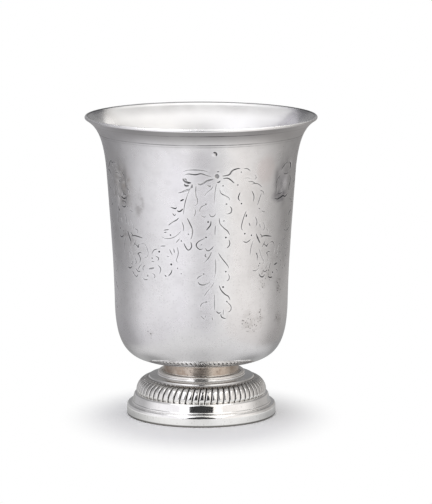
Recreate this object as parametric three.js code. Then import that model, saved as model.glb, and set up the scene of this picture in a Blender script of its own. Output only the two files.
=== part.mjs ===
// A footed silver beaker: a tulip-shaped drinking bowl with an everted lip, on a low hollow foot.
// Millimetres, +Z up. The origin is the centre of the ring that the foot stands on.
// Every piece is a ring or shell of revolution, soldered to the piece below it on a flat face.

import * as THREE from 'three';

// Driving dimensions: heights of the pieces, stacked from the table up
const baseBandHeight = 4.5;
const stepHeight = 3.8;
const gadroonHeight = 6.1;
const capHeight = 1.4;
const neckHeight = 5.2;
const bowlHeight = 94;

// Driving dimensions: the foot, whose rings grow outward from the neck
const neckRadius = 14.76; // at the foot of the neck
const neckTaper = 0.7; // the neck is narrower by this much where it meets the bowl
const neckWall = 1.1;
const seamGap = 0.3; // clearance between the neck and the wire round its foot
const beadWidth = 1.6;
const beadHeight = 1.1;
const capLedge = 0.4; // flat left on the cap outside the bead
const capRun = 2.9; // width of the cap's slope
const capEdge = 0.7; // height of the plain rim at the foot of that slope
const capLean = 0.3; // inward lean of that rim
const capWall = 0.9;
const capSeat = 1.6; // width of the flat on which the cap stands
const gadroonTopLedge = 0.2;
const gadroonRun = 4.5; // width of the quarter-round that carries the lobes
const gadroonFillet = 0.3; // plain upright edge above the lobes
const gadroonToe = 0.7; // height of the drawn-in toe below the lobes
const gadroonToeInset = 0.3;
const gadroonSeat = 1.4; // width of the flat on which the gadroon band stands
const stepLedge = 0.35;
const stepRoundWidth = 0.6; // rounding of the step's upper edge
const stepRoundHeight = 1;
const stepTaper = 0.9; // inward lean of the step's straight face
const baseLedge = 0.4;
const baseShoulderWidth = 1.3;
const baseShoulderHeight = 1.2;
const baseChamfer = 0.4;
const baseWall = 1.3;
const baseFlange = 1;

// Driving dimensions: the lobes of the gadroon band
const lobeCount = 64;
const lobeDepth = 0.7;
const lobeLean = THREE.MathUtils.degToRad(3); // turn about the axis from the foot of a lobe to its top

// Driving dimensions: the bowl
const seatMargin = 1.6; // the flat under the bowl reaches this far outside the neck
const bellyRadius = 33.05;
const bellyHeight = 22.8; // from the bowl's flat underside up to the end of the round belly
const bellyFullness = 0.745; // length of the belly curve's handles, as a share of its width and height
const bellySlope = 0.02; // outward lean of the wall, per millimetre of height, where the belly ends
const flareRadius = 35.93; // radius where the wall starts to turn out
const flareHeight = 21.6; // from there up to the rim
const flareSlope = 0.07; // outward lean of the wall there
const flareHandle = 15;
const rimRadius = 44.2;
const lipAngle = THREE.MathUtils.degToRad(33); // the lip's rise above the horizontal
const lipHandle = 4;
const lipThickness = 1.2;
const bowlWall = 0.55;
const bowlFloor = 0.8;

// Fineness of the facets
const ringSegments = 48;
const columnsPerLobe = 4;
const lobeRows = 3;
const mouldingSteps = 4;
const beadSteps = 6;
const lipSteps = 4;

// Levels of the joints between the pieces
const stepLevel = baseBandHeight;
const gadroonLevel = stepLevel + stepHeight;
const capLevel = gadroonLevel + gadroonHeight;
const neckLevel = capLevel + capHeight;
const bowlLevel = neckLevel + neckHeight;
const rimLevel = bowlLevel + bowlHeight;

// Radii, each from its neighbour's
const neckTopRadius = neckRadius - neckTaper;
const neckBore = neckRadius - neckWall;
const beadInnerRadius = neckRadius + seamGap;
const beadOuterRadius = beadInnerRadius + beadWidth;
const capTopRadius = beadOuterRadius + capLedge;
const capRimRadius = capTopRadius + capRun;
const capFootRadius = capRimRadius + capLean;
const capSeatRadius = capFootRadius - capSeat;
const gadroonTopRadius = capFootRadius + gadroonTopLedge;
const gadroonRadius = gadroonTopRadius + gadroonRun;
const footBore = gadroonRadius - gadroonSeat;
const stepTopRadius = gadroonRadius + stepLedge;
const stepFootRadius = stepTopRadius + stepRoundWidth + stepTaper;
const baseTopRadius = stepFootRadius + baseLedge;
const baseRadius = baseTopRadius + baseShoulderWidth;
const bowlSeatRadius = neckTopRadius + seatMargin;

const silver = { color: 0xd3d0cb, metalness: 1 };
const polished = 0.16;
const satin = 0.3;

// A section point: distance from the axis, height above the table
function at(radius, height) {
  return new THREE.Vector2(radius, height);
}

// A solid of revolution about Z from a closed section. The section runs anticlockwise
// with the radius to the right and the height up, and may start and end on the axis.
function turned(name, section, roughness, segments = ringSegments) {
  const geometry = new THREE.LatheGeometry(section, segments);
  const material = new THREE.MeshStandardMaterial({ ...silver, roughness });
  const mesh = new THREE.Mesh(geometry, material);
  mesh.name = name;
  mesh.rotation.x = Math.PI / 2;
  return mesh;
}

function closed(section) {
  return [...section, section[0].clone()];
}

// Quarter of an ellipse, from its widest point up to its top
function quarterRound(centreRadius, centreHeight, width, height, steps) {
  return new THREE.EllipseCurve(centreRadius, centreHeight, width, height, 0, Math.PI / 2).getPoints(steps);
}

// Upright band that stands on the table, with a flange on top that carries the rest of the foot
function makeBaseBand() {
  const shoulderLevel = stepLevel - baseShoulderHeight;
  const shoulder = quarterRound(
    baseTopRadius,
    shoulderLevel,
    baseShoulderWidth,
    baseShoulderHeight,
    mouldingSteps,
  );
  const innerRadius = baseRadius - baseWall;
  const section = [
    at(innerRadius, 0),
    at(baseRadius - baseChamfer, 0),
    at(baseRadius, baseChamfer),
    ...shoulder,
    at(footBore, stepLevel),
    at(footBore, stepLevel - baseFlange),
    at(innerRadius, stepLevel - baseFlange),
  ];
  return turned('base_band', closed(section), polished);
}

// Plain moulding between the base band and the gadroons: a straight leaning face, rounded at its top
function makeStepMoulding() {
  const roundLevel = gadroonLevel - stepRoundHeight;
  const round = quarterRound(stepTopRadius, roundLevel, stepRoundWidth, stepRoundHeight, mouldingSteps);
  const section = [
    at(footBore, stepLevel),
    at(stepFootRadius, stepLevel),
    ...round,
    at(footBore, gadroonLevel),
  ];
  return turned('step_moulding', closed(section), polished);
}

// Quarter-round border of leaning lobes. The plain section is turned first, then each point of
// its face is drawn in along the face's normal by the depth of the cut between the lobes.
function makeGadroonBand() {
  const faceLevel = gadroonLevel + gadroonToe;
  const faceHeight = gadroonHeight - gadroonToe - gadroonFillet;
  const face = quarterRound(gadroonTopRadius, faceLevel, gadroonRun, faceHeight, lobeRows);
  const section = [
    at(footBore, gadroonLevel),
    at(gadroonRadius - gadroonToeInset, gadroonLevel),
    ...face,
    at(gadroonTopRadius, capLevel),
    at(capSeatRadius, capLevel),
  ];
  const firstFaceRow = 2;
  const columns = lobeCount * columnsPerLobe;
  const mesh = turned('gadroon_band', closed(section), polished, columns);
  const position = mesh.geometry.getAttribute('position');
  const rows = section.length + 1;
  for (let index = 0; index < position.count; index += 1) {
    const row = index % rows;
    const column = Math.floor(index / rows) % columns;
    const along = (row - firstFaceRow) / lobeRows;
    if (along < 0 || along >= 1) {
      continue;
    }
    const acrossLobe = (column % columnsPerLobe) / columnsPerLobe;
    const cut = lobeDepth * (1 - Math.sqrt(Math.sin(Math.PI * acrossLobe)));
    const slope = along * Math.PI / 2;
    const radius = section[row].x - cut * Math.cos(slope);
    const turn = 2 * Math.PI * column / columns + lobeLean * along;
    position.setXYZ(
      index,
      radius * Math.sin(turn),
      section[row].y - cut * Math.sin(slope),
      radius * Math.cos(turn),
    );
  }
  mesh.geometry.computeVertexNormals();
  return mesh;
}

// Dished cap that closes the foot down to the neck, with a plain rim above the lobes
function makeFootCap() {
  const underside = neckLevel - capWall;
  const slope = new THREE.QuadraticBezierCurve(
    at(capRimRadius, capLevel + capEdge),
    at((capRimRadius + capTopRadius) / 2, neckLevel),
    at(capTopRadius, neckLevel),
  );
  const section = [
    at(capSeatRadius, capLevel),
    at(capFootRadius, capLevel),
    ...slope.getPoints(mouldingSteps),
    at(neckBore, neckLevel),
    at(neckBore, underside),
    at(capSeatRadius - capEdge, underside),
  ];
  return turned('foot_cap', closed(section), polished);
}

// Half-round wire laid round the foot of the neck
function makeNeckBead() {
  const middle = beadInnerRadius + beadWidth / 2;
  const round = new THREE.EllipseCurve(middle, neckLevel, beadWidth / 2, beadHeight, 0, Math.PI);
  return turned('neck_bead', closed(round.getPoints(beadSteps)), polished);
}

// Short tapered tube that carries the bowl
function makeNeck() {
  const section = [
    at(neckBore, neckLevel),
    at(neckRadius, neckLevel),
    at(neckTopRadius, bowlLevel),
    at(neckTopRadius - neckWall, bowlLevel),
  ];
  return turned('neck', closed(section), polished);
}

// Points and thicknesses along the bowl's outer face, from its flat underside up to the lip
function bowlFace() {
  const bellyLevel = bowlLevel + bellyHeight;
  const flareLevel = rimLevel - flareHeight;
  const wallHandle = (flareLevel - bellyLevel) / 3;
  const bellyWidth = bellyRadius - bowlSeatRadius;
  const bellyLift = bellyFullness * bellyHeight;
  const lipRadius = lipThickness / 2;
  const lipCentre = at(rimRadius - lipRadius, rimLevel - lipRadius);
  const lipDirection = at(Math.cos(lipAngle), Math.sin(lipAngle));
  const lipFoot = at(lipCentre.x + lipRadius * lipDirection.y, lipCentre.y - lipRadius * lipDirection.x);
  const belly = new THREE.CubicBezierCurve(
    at(bowlSeatRadius, bowlLevel),
    at(bowlSeatRadius + bellyFullness * bellyWidth, bowlLevel),
    at(bellyRadius - bellySlope * bellyLift, bellyLevel - bellyLift),
    at(bellyRadius, bellyLevel),
  );
  const wall = new THREE.CubicBezierCurve(
    at(bellyRadius, bellyLevel),
    at(bellyRadius + bellySlope * wallHandle, bellyLevel + wallHandle),
    at(flareRadius - flareSlope * wallHandle, flareLevel - wallHandle),
    at(flareRadius, flareLevel),
  );
  const flare = new THREE.CubicBezierCurve(
    at(flareRadius, flareLevel),
    at(flareRadius + flareSlope * flareHandle, flareLevel + flareHandle),
    lipFoot.clone().addScaledVector(lipDirection, -lipHandle),
    lipFoot,
  );
  return { belly, wall, flare, lipCentre, lipRadius };
}

// Raised bowl: the outer face, a rounded lip, and an inner face offset from the outer one by a wall
// that thickens from the floor's end of the belly and towards the lip
function makeBowl() {
  const { belly, wall, flare, lipCentre, lipRadius } = bowlFace();
  const stretches = [
    { curve: belly, steps: 8, thickness: (t) => THREE.MathUtils.lerp(bowlFloor, bowlWall, t) },
    { curve: wall, steps: 3, thickness: () => bowlWall },
    { curve: flare, steps: 7, thickness: (t) => THREE.MathUtils.lerp(bowlWall, lipThickness, t ** 3) },
  ];
  const outer = [];
  const inner = [];
  for (const { curve, steps, thickness } of stretches) {
    const firstStep = outer.length === 0 ? 0 : 1;
    for (let step = firstStep; step <= steps; step += 1) {
      const t = step / steps;
      const point = curve.getPoint(t);
      const tangent = curve.getTangent(t);
      outer.push(point);
      inner.push(at(point.x - tangent.y * thickness(t), point.y + tangent.x * thickness(t)));
    }
  }
  const lipStart = lipAngle - Math.PI / 2;
  const lipEnd = lipAngle + Math.PI / 2;
  const lip = new THREE.EllipseCurve(lipCentre.x, lipCentre.y, lipRadius, lipRadius, lipStart, lipEnd);
  const section = [
    at(0, bowlLevel),
    ...outer,
    ...lip.getPoints(lipSteps).slice(1, -1),
    ...inner.reverse(),
    at(0, bowlLevel + bowlFloor),
  ];
  return turned('bowl', section, satin);
}

const beaker = new THREE.Group();
beaker.name = 'footed_beaker';
beaker.add(
  makeBaseBand(),
  makeStepMoulding(),
  makeGadroonBand(),
  makeFootCap(),
  makeNeckBead(),
  makeNeck(),
  makeBowl(),
);

export default beaker;
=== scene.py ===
import math
import random

import bpy
import numpy as np
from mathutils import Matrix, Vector, geometry, kdtree, noise


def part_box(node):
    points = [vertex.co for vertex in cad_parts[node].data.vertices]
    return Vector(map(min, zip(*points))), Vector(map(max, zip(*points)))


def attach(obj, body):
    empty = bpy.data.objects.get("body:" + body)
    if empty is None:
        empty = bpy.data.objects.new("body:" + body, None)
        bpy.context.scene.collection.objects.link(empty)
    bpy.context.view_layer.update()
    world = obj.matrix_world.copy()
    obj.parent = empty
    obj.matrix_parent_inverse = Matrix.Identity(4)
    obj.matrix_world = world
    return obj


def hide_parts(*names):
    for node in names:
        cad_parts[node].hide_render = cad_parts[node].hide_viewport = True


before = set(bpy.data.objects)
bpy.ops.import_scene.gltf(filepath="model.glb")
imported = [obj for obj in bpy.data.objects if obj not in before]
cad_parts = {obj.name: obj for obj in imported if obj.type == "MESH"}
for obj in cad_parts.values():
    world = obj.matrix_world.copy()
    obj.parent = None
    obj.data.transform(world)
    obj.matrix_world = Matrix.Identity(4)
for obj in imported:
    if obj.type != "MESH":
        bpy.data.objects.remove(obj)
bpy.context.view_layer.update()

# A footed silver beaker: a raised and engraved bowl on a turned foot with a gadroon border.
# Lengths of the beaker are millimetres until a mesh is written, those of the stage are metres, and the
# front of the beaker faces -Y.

MM = 0.001


def node_size(node):
    """Outer radius, lowest and highest level of a node of the frame, in millimetres."""
    low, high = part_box(node)
    return high.x / MM, low.z / MM, high.z / MM


# Levels and radii of the pieces, from the frame
BASE_RADIUS, BASE_LEVEL, STEP_LEVEL = node_size("base_band")
STEP_RADIUS, _, GADROON_LEVEL = node_size("step_moulding")
GADROON_RADIUS, _, CAP_LEVEL = node_size("gadroon_band")
CAP_RADIUS, _, NECK_LEVEL = node_size("foot_cap")
BEAD_RADIUS, _, BEAD_TOP = node_size("neck_bead")
NECK_RADIUS, _, BOWL_LEVEL = node_size("neck")
RIM_RADIUS, _, RIM_LEVEL = node_size("bowl")

# The foot's sizes that its boxes don't show
NECK_TAPER = 0.7
NECK_WALL = 1.1
NECK_TOP_RADIUS = NECK_RADIUS - NECK_TAPER
NECK_BORE = NECK_RADIUS - NECK_WALL
BEAD_WIDTH = 1.6
CAP_EDGE = 0.55
CAP_RISE = 0.4
CAP_LEAN = 0.35
CAP_COLLAR = 0.12
CAP_WALL = 0.9
CAP_SEAT = 1.6
GADROON_RUN = 4.5
GADROON_TOE = 0.7
GADROON_FILLET = 0.3
GADROON_SEAT = 1.4
FOOT_BORE = GADROON_RADIUS - GADROON_SEAT
STEP_TOE_WIDTH = 0.45
STEP_TOE_HEIGHT = 0.65
STEP_TOE_LIFT = 0.1
STEP_LEAN = 1.2
STEP_ROUNDING = 0.9
BASE_SHOULDER_WIDTH = 0.8
BASE_SHOULDER_HEIGHT = 1.5
BASE_WALL = 1.3
BASE_FLANGE = 1.0
EDGE_ROUNDING = 0.18
LOBE_COUNT = 64
LOBE_DEPTH = 1.0
LOBE_ROUNDNESS = 3.6
LOBE_LEAN = math.radians(3)

# The bowl's outer face
SEAT_RADIUS = NECK_TOP_RADIUS + 1.6
BELLY_RADIUS = 33.05
BELLY_LEVEL = BOWL_LEVEL + 22.8
BELLY_FULLNESS = 0.745
BELLY_SLOPE = 0.02
FLARE_RADIUS = 35.93
FLARE_LEVEL = RIM_LEVEL - 21.6
FLARE_SLOPE = 0.07
FLARE_HANDLE = 15.0
LIP_ANGLE = math.radians(33)
LIP_HANDLE = 4.0
LIP_THICKNESS = 1.2
LIP_EDGE_WIDTH = 0.4
BOWL_WALL = 0.55
BOWL_FLOOR = 0.8


# Node trees

def feed(node, inputs):
    """Sets inputs of a node. An input is a plain value, or a Value to link from."""
    for key, given in inputs.items():
        socket = node.inputs[key]
        if isinstance(given, Value):
            given.tree.links.new(given.socket, socket)
        else:
            socket.default_value = given


def add_node(tree, kind, inputs=None, **settings):
    node = tree.nodes.new(kind)
    for name, setting in settings.items():
        setattr(node, name, setting)
    feed(node, inputs or {})
    return node


def output(tree, kind, inputs=None, name=0, **settings):
    """One output of a new node: its first, unless another is named."""
    return Value(tree, add_node(tree, kind, inputs, **settings).outputs[name])


def outputs(tree, kind, inputs=None, **settings):
    """All outputs of a new node, by name."""
    node = add_node(tree, kind, inputs, **settings)
    return {socket.name: Value(tree, socket) for socket in node.outputs}


def calculate(tree, operation, *values):
    """A math node's result, from Values or numbers."""
    return output(tree, "ShaderNodeMath", dict(enumerate(values)), operation=operation)


class Value:
    """An output of a node, to link to others and to calculate with."""

    def __init__(self, tree, socket):
        self.tree = tree
        self.socket = socket

    def math(self, operation, *others):
        return calculate(self.tree, operation, self, *others)

    def __add__(self, other):
        return self.math("ADD", other)

    def __sub__(self, other):
        return self.math("SUBTRACT", other)

    def __rsub__(self, other):
        return calculate(self.tree, "SUBTRACT", other, self)

    def __mul__(self, other):
        return self.math("MULTIPLY", other)

    def __truediv__(self, other):
        return self.math("DIVIDE", other)

    def __rtruediv__(self, other):
        return calculate(self.tree, "DIVIDE", other, self)

    def __pow__(self, other):
        return self.math("POWER", other)

    def __neg__(self):
        return self * -1.0

    def __abs__(self):
        return self.math("ABSOLUTE")

    def largest(self, other):
        return self.math("MAXIMUM", other)

    def vector_math(self, operation, *others):
        inputs = dict(enumerate((self, *others)))
        return output(self.tree, "ShaderNodeVectorMath", inputs, operation=operation)

    def length(self):
        return output(self.tree, "ShaderNodeVectorMath", {0: self}, "Value", operation="LENGTH")

    def parts(self):
        """A vector's X, Y and Z."""
        return outputs(self.tree, "ShaderNodeSeparateXYZ", {0: self})

    def ramp(self, start, end, low=0.0, high=1.0):
        """A smooth change from low to high, while this value goes from start to end."""
        return output(self.tree, "ShaderNodeMapRange", {
            "Value": self,
            "From Min": start,
            "From Max": end,
            "To Min": low,
            "To Max": high,
        }, interpolation_type="SMOOTHSTEP")

    def mix(self, first, second):
        """A colour between two, with this share of the second."""
        inputs = {0: self}
        for index, colour in ((6, first), (7, second)):
            inputs[index] = colour if isinstance(colour, Value) else (*colour, 1)
        return output(self.tree, "ShaderNodeMix", inputs, 2, data_type="RGBA")


def add_socket(tree, direction, name, kind, default=None):
    socket = tree.interface.new_socket(name=name, in_out=direction, socket_type=kind)
    if default is not None:
        socket.default_value = default


# Meshes and chains of points

def placed(name, data):
    """A new object in the scene."""
    thing = bpy.data.objects.new(name, data)
    bpy.context.collection.objects.link(thing)
    return thing


def store(mesh, name, values, kind="FLOAT", key="value"):
    """Keeps a value for each point of a mesh."""
    mesh.attributes.new(name, kind, "POINT").data.foreach_set(key, values)


def directions(chain, *lengths):
    """The way along a chain of points, at each of them."""
    along = np.gradient(chain, *lengths, axis=0)
    return along / np.linalg.norm(along, axis=1)[:, None]


def lengths_along(chain):
    steps = np.linalg.norm(np.diff(chain, axis=0), axis=1)
    return np.concatenate(((0.0,), np.cumsum(steps)))


# Turned rings

def rounded_section(corners):
    """Section points from corners (radius, level, rounding), each rounded by a short curve."""
    steps = 6
    points = []
    for index, (radius, level, rounding) in enumerate(corners):
        corner = Vector((radius, level))
        if rounding == 0:
            points.append(corner)
            continue
        before = Vector(corners[index - 1][:2]) - corner
        after = Vector(corners[(index + 1) % len(corners)][:2]) - corner
        start = corner + before.normalized() * rounding
        end = corner + after.normalized() * rounding
        for step in range(steps + 1):
            t = step / steps
            points.append(start.lerp(corner, t).lerp(corner.lerp(end, t), t))
    return points


def quarter_round(centre_radius, centre_level, width, height, steps):
    """Corners along a quarter of an ellipse, from its widest point up to its top."""
    corners = []
    for step in range(steps + 1):
        angle = math.pi / 2 * step / steps
        corners.append((
            centre_radius + width * math.cos(angle),
            centre_level + height * math.sin(angle),
            0,
        ))
    return corners


def turned_ring_tree():
    """Repeats one slice of a closed section round the Z axis.

    The section's points carry two attributes: cut, how far and which way a point is drawn in
    between two lobes, and turn, how far it leans about the axis.
    """
    tree = bpy.data.node_groups.new("turned ring", "GeometryNodeTree")
    add_socket(tree, "INPUT", "Section", "NodeSocketGeometry")
    add_socket(tree, "INPUT", "Repeats", "NodeSocketInt", 96)
    add_socket(tree, "INPUT", "Columns", "NodeSocketInt", 2)
    add_socket(tree, "INPUT", "Lobe Roundness", "NodeSocketFloat", 2.0)
    add_socket(tree, "INPUT", "Material", "NodeSocketMaterial")
    add_socket(tree, "OUTPUT", "Ring", "NodeSocketGeometry")
    given = outputs(tree, "NodeGroupInput")

    count = output(tree, "GeometryNodeAttributeDomainSize", {"Geometry": given["Section"]}, "Point Count")
    grid = output(tree, "GeometryNodeMeshGrid", {
        "Size X": 1.0,
        "Size Y": 1.0,
        "Vertices X": given["Columns"],
        "Vertices Y": count + 1,
    })
    place = output(tree, "GeometryNodeInputPosition").parts()
    across = place["X"]
    row = ((place["Y"] + 0.5) * count).math("ROUND").math("MODULO", count)

    def at_row(source, data_type):
        """What the section's point at this row has."""
        return output(tree, "GeometryNodeSampleIndex", {
            "Geometry": given["Section"],
            "Value": source,
            "Index": row,
        }, data_type=data_type)

    def named_at_row(name, data_type):
        source = output(tree, "GeometryNodeInputNamedAttribute", {"Name": name}, data_type=data_type)
        return at_row(source, data_type)

    # A lobe's cross-section is part of a superellipse, so the cuts between lobes are narrow
    roundness = given["Lobe Roundness"]
    left_over = (1.0 - abs(across * 2.0) ** roundness).largest(0.0)
    crest = left_over ** (1.0 / roundness)
    drawn_in = output(tree, "ShaderNodeVectorMath", {
        0: named_at_row("cut", "FLOAT_VECTOR"),
        "Scale": 1.0 - crest,
    }, operation="SCALE")
    section = at_row(output(tree, "GeometryNodeInputPosition"), "FLOAT_VECTOR")
    section = section.vector_math("ADD", drawn_in).parts()
    pitch = 2 * math.pi / given["Repeats"]
    angle = across * pitch + named_at_row("turn", "FLOAT")
    where = output(tree, "ShaderNodeCombineXYZ", {
        "X": section["X"] * angle.math("SINE"),
        "Y": -(section["X"] * angle.math("COSINE")),
        "Z": section["Z"],
    })
    stored = output(tree, "GeometryNodeStoreNamedAttribute", {
        "Geometry": grid,
        "Name": "recess",
        "Value": drawn_in.length(),
    }, data_type="FLOAT", domain="POINT")
    one_slice = output(tree, "GeometryNodeSetPosition", {"Geometry": stored, "Position": where})
    copies = output(tree, "GeometryNodeInstanceOnPoints", {
        "Points": output(tree, "GeometryNodePoints", {"Count": given["Repeats"]}),
        "Instance": one_slice,
        "Rotation": output(tree, "ShaderNodeCombineXYZ", {
            "Z": output(tree, "GeometryNodeInputIndex") * pitch,
        }),
    })
    whole = output(tree, "GeometryNodeRealizeInstances", {"Geometry": copies})
    merged = output(tree, "GeometryNodeMergeByDistance", {"Geometry": whole, "Distance": 1e-6})
    smooth = output(tree, "GeometryNodeSetShadeSmooth", {0: merged})
    finished = output(tree, "GeometryNodeSetMaterial", {
        "Geometry": smooth,
        "Material": given["Material"],
    })
    add_node(tree, "NodeGroupOutput", {"Ring": finished})
    return tree


def plain_mesh(maker):
    """The object's evaluated mesh as a plain mesh object, with no modifiers."""
    graph = bpy.context.evaluated_depsgraph_get()
    mesh = bpy.data.meshes.new_from_object(
        maker.evaluated_get(graph), preserve_all_data_layers=True, depsgraph=graph
    )
    name = maker.name
    section = maker.data
    bpy.data.objects.remove(maker)
    bpy.data.meshes.remove(section)
    mesh.name = name
    return placed(name, mesh)


def turned_ring(name, section, material, repeats=192, columns=2, roundness=2.0, cuts=None, turns=None):
    """A ring piece from a closed section in millimetres, anticlockwise with the radius to the right."""
    mesh = bpy.data.meshes.new(name + " section")
    mesh.from_pydata([(radius * MM, 0, level * MM) for radius, level in section], [], [])
    cuts = cuts or [(0, 0)] * len(section)
    turns = turns or [0.0] * len(section)
    store(mesh, "cut", [part * MM for out, up in cuts for part in (out, 0, up)], "FLOAT_VECTOR", "vector")
    store(mesh, "turn", turns)
    maker = placed(name, mesh)
    nodes = maker.modifiers.new("turned ring", "NODES")
    nodes.node_group = RING_TREE
    sizes = {"Repeats": repeats, "Columns": columns, "Lobe Roundness": roundness, "Material": material}
    for socket in RING_TREE.interface.items_tree:
        if socket.name in sizes:
            nodes[socket.identifier] = sizes[socket.name]
    maker.modifiers.new("even normals", "WEIGHTED_NORMAL")
    return plain_mesh(maker)


def finish_piece(piece, node):
    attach(piece, "root")
    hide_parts(node)


# Pieces of the foot

def make_base_band(material):
    inner = BASE_RADIUS - BASE_WALL
    top = BASE_RADIUS - BASE_SHOULDER_WIDTH
    shoulder_level = STEP_LEVEL - BASE_SHOULDER_HEIGHT
    flange = STEP_LEVEL - BASE_FLANGE
    corners = [
        (inner, BASE_LEVEL, EDGE_ROUNDING),
        (BASE_RADIUS, BASE_LEVEL, 2 * EDGE_ROUNDING),
        *quarter_round(top, shoulder_level, BASE_SHOULDER_WIDTH, BASE_SHOULDER_HEIGHT, 12),
        (FOOT_BORE, STEP_LEVEL, EDGE_ROUNDING),
        (FOOT_BORE, flange, EDGE_ROUNDING),
        (inner, flange, 0),
    ]
    return turned_ring("base_ring", rounded_section(corners), material)


def make_step_moulding(material):
    toe = STEP_RADIUS - STEP_TOE_WIDTH
    corners = [
        (FOOT_BORE, STEP_LEVEL, 0),
        (STEP_RADIUS, STEP_LEVEL, 0),
        *quarter_round(toe, STEP_LEVEL + STEP_TOE_LIFT, STEP_TOE_WIDTH, STEP_TOE_HEIGHT, 8),
        (STEP_RADIUS - STEP_LEAN, GADROON_LEVEL, STEP_ROUNDING),
        (FOOT_BORE, GADROON_LEVEL, 0),
    ]
    return turned_ring("step_ring", rounded_section(corners), material)


def make_gadroon_border(material):
    top = GADROON_RADIUS - GADROON_RUN
    face_level = GADROON_LEVEL + GADROON_TOE
    face_height = CAP_LEVEL - GADROON_FILLET - face_level
    toe_angle = -math.asin(GADROON_TOE / face_height)
    toe_inset = 0.3 * LOBE_DEPTH
    toe_share = 0.125
    rows = 14
    section = [(FOOT_BORE, GADROON_LEVEL)]
    cuts = [(0, 0)]
    turns = [0.0]
    for row in range(rows + 1):
        share = row / rows
        angle = toe_angle + (math.pi / 2 - toe_angle) * share
        # The lobes end in rounded toes, and run in under the plain edge at the top
        toe = toe_inset * max(0.0, 1 - share / toe_share) ** 2
        depth_at_toe = 0.45 + share * 5
        depth_at_top = 0.7 + (1 - share) * 6
        depth = LOBE_DEPTH * min(1.0, depth_at_toe, depth_at_top)
        section.append((
            top + (GADROON_RUN - toe) * math.cos(angle),
            face_level + face_height * math.sin(angle),
        ))
        cuts.append((-depth * math.cos(angle), -depth * max(0.0, math.sin(angle))))
        turns.append(LOBE_LEAN * share)
    section += [(top, CAP_LEVEL), (CAP_RADIUS - CAP_SEAT, CAP_LEVEL)]
    cuts += [(0, 0), (0, 0)]
    turns += [LOBE_LEAN, LOBE_LEAN]
    return turned_ring(
        "gadroon_border", section, material,
        repeats=LOBE_COUNT, columns=13, roundness=LOBE_ROUNDNESS, cuts=cuts, turns=turns,
    )


def make_foot_cap(material):
    seat = CAP_RADIUS - CAP_SEAT
    underside = NECK_LEVEL - CAP_WALL
    rim_level = CAP_LEVEL + CAP_EDGE
    corners = [
        (seat, CAP_LEVEL, 0),
        (CAP_RADIUS, CAP_LEVEL, EDGE_ROUNDING / 2),
        (CAP_RADIUS - CAP_LEAN, rim_level, EDGE_ROUNDING),
        (BEAD_RADIUS + CAP_COLLAR, rim_level + CAP_RISE, EDGE_ROUNDING / 3),
        (BEAD_RADIUS, NECK_LEVEL, EDGE_ROUNDING / 3),
        (NECK_BORE, NECK_LEVEL, 0),
        (NECK_BORE, underside, 0),
        (seat - CAP_WALL, underside, 0),
    ]
    return turned_ring("foot_dish", rounded_section(corners), material)


def make_neck_bead(material):
    middle = BEAD_RADIUS - BEAD_WIDTH / 2
    steps = 16
    section = []
    for step in range(steps + 1):
        angle = math.pi * step / steps
        section.append((
            middle + BEAD_WIDTH / 2 * math.cos(angle),
            NECK_LEVEL + (BEAD_TOP - NECK_LEVEL) * math.sin(angle),
        ))
    return turned_ring("neck_wire", section, material)


def make_neck(material):
    section = [(NECK_BORE, NECK_LEVEL)]
    # Shallow grooves left by turning
    groove_count = 6
    groove_depth = 0.005
    steps = 8 * groove_count
    for step in range(steps + 1):
        share = step / steps
        groove = groove_depth * (1 - math.cos(2 * math.pi * groove_count * share)) / 2
        radius = NECK_RADIUS - NECK_TAPER * share - groove
        section.append((radius, NECK_LEVEL + (BOWL_LEVEL - NECK_LEVEL) * share))
    section.append((NECK_TOP_RADIUS - NECK_WALL, BOWL_LEVEL))
    return turned_ring("neck_tube", section, material)


# The bowl

def bezier(steps, *points):
    """Points along a cubic curve, as an array."""
    p0, p1, p2, p3 = (np.array(p, float) for p in points)
    t = np.linspace(0, 1, steps + 1)[:, None]
    return (1 - t) ** 3 * p0 + 3 * (1 - t) ** 2 * t * p1 + 3 * (1 - t) * t ** 2 * p2 + t ** 3 * p3


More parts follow.
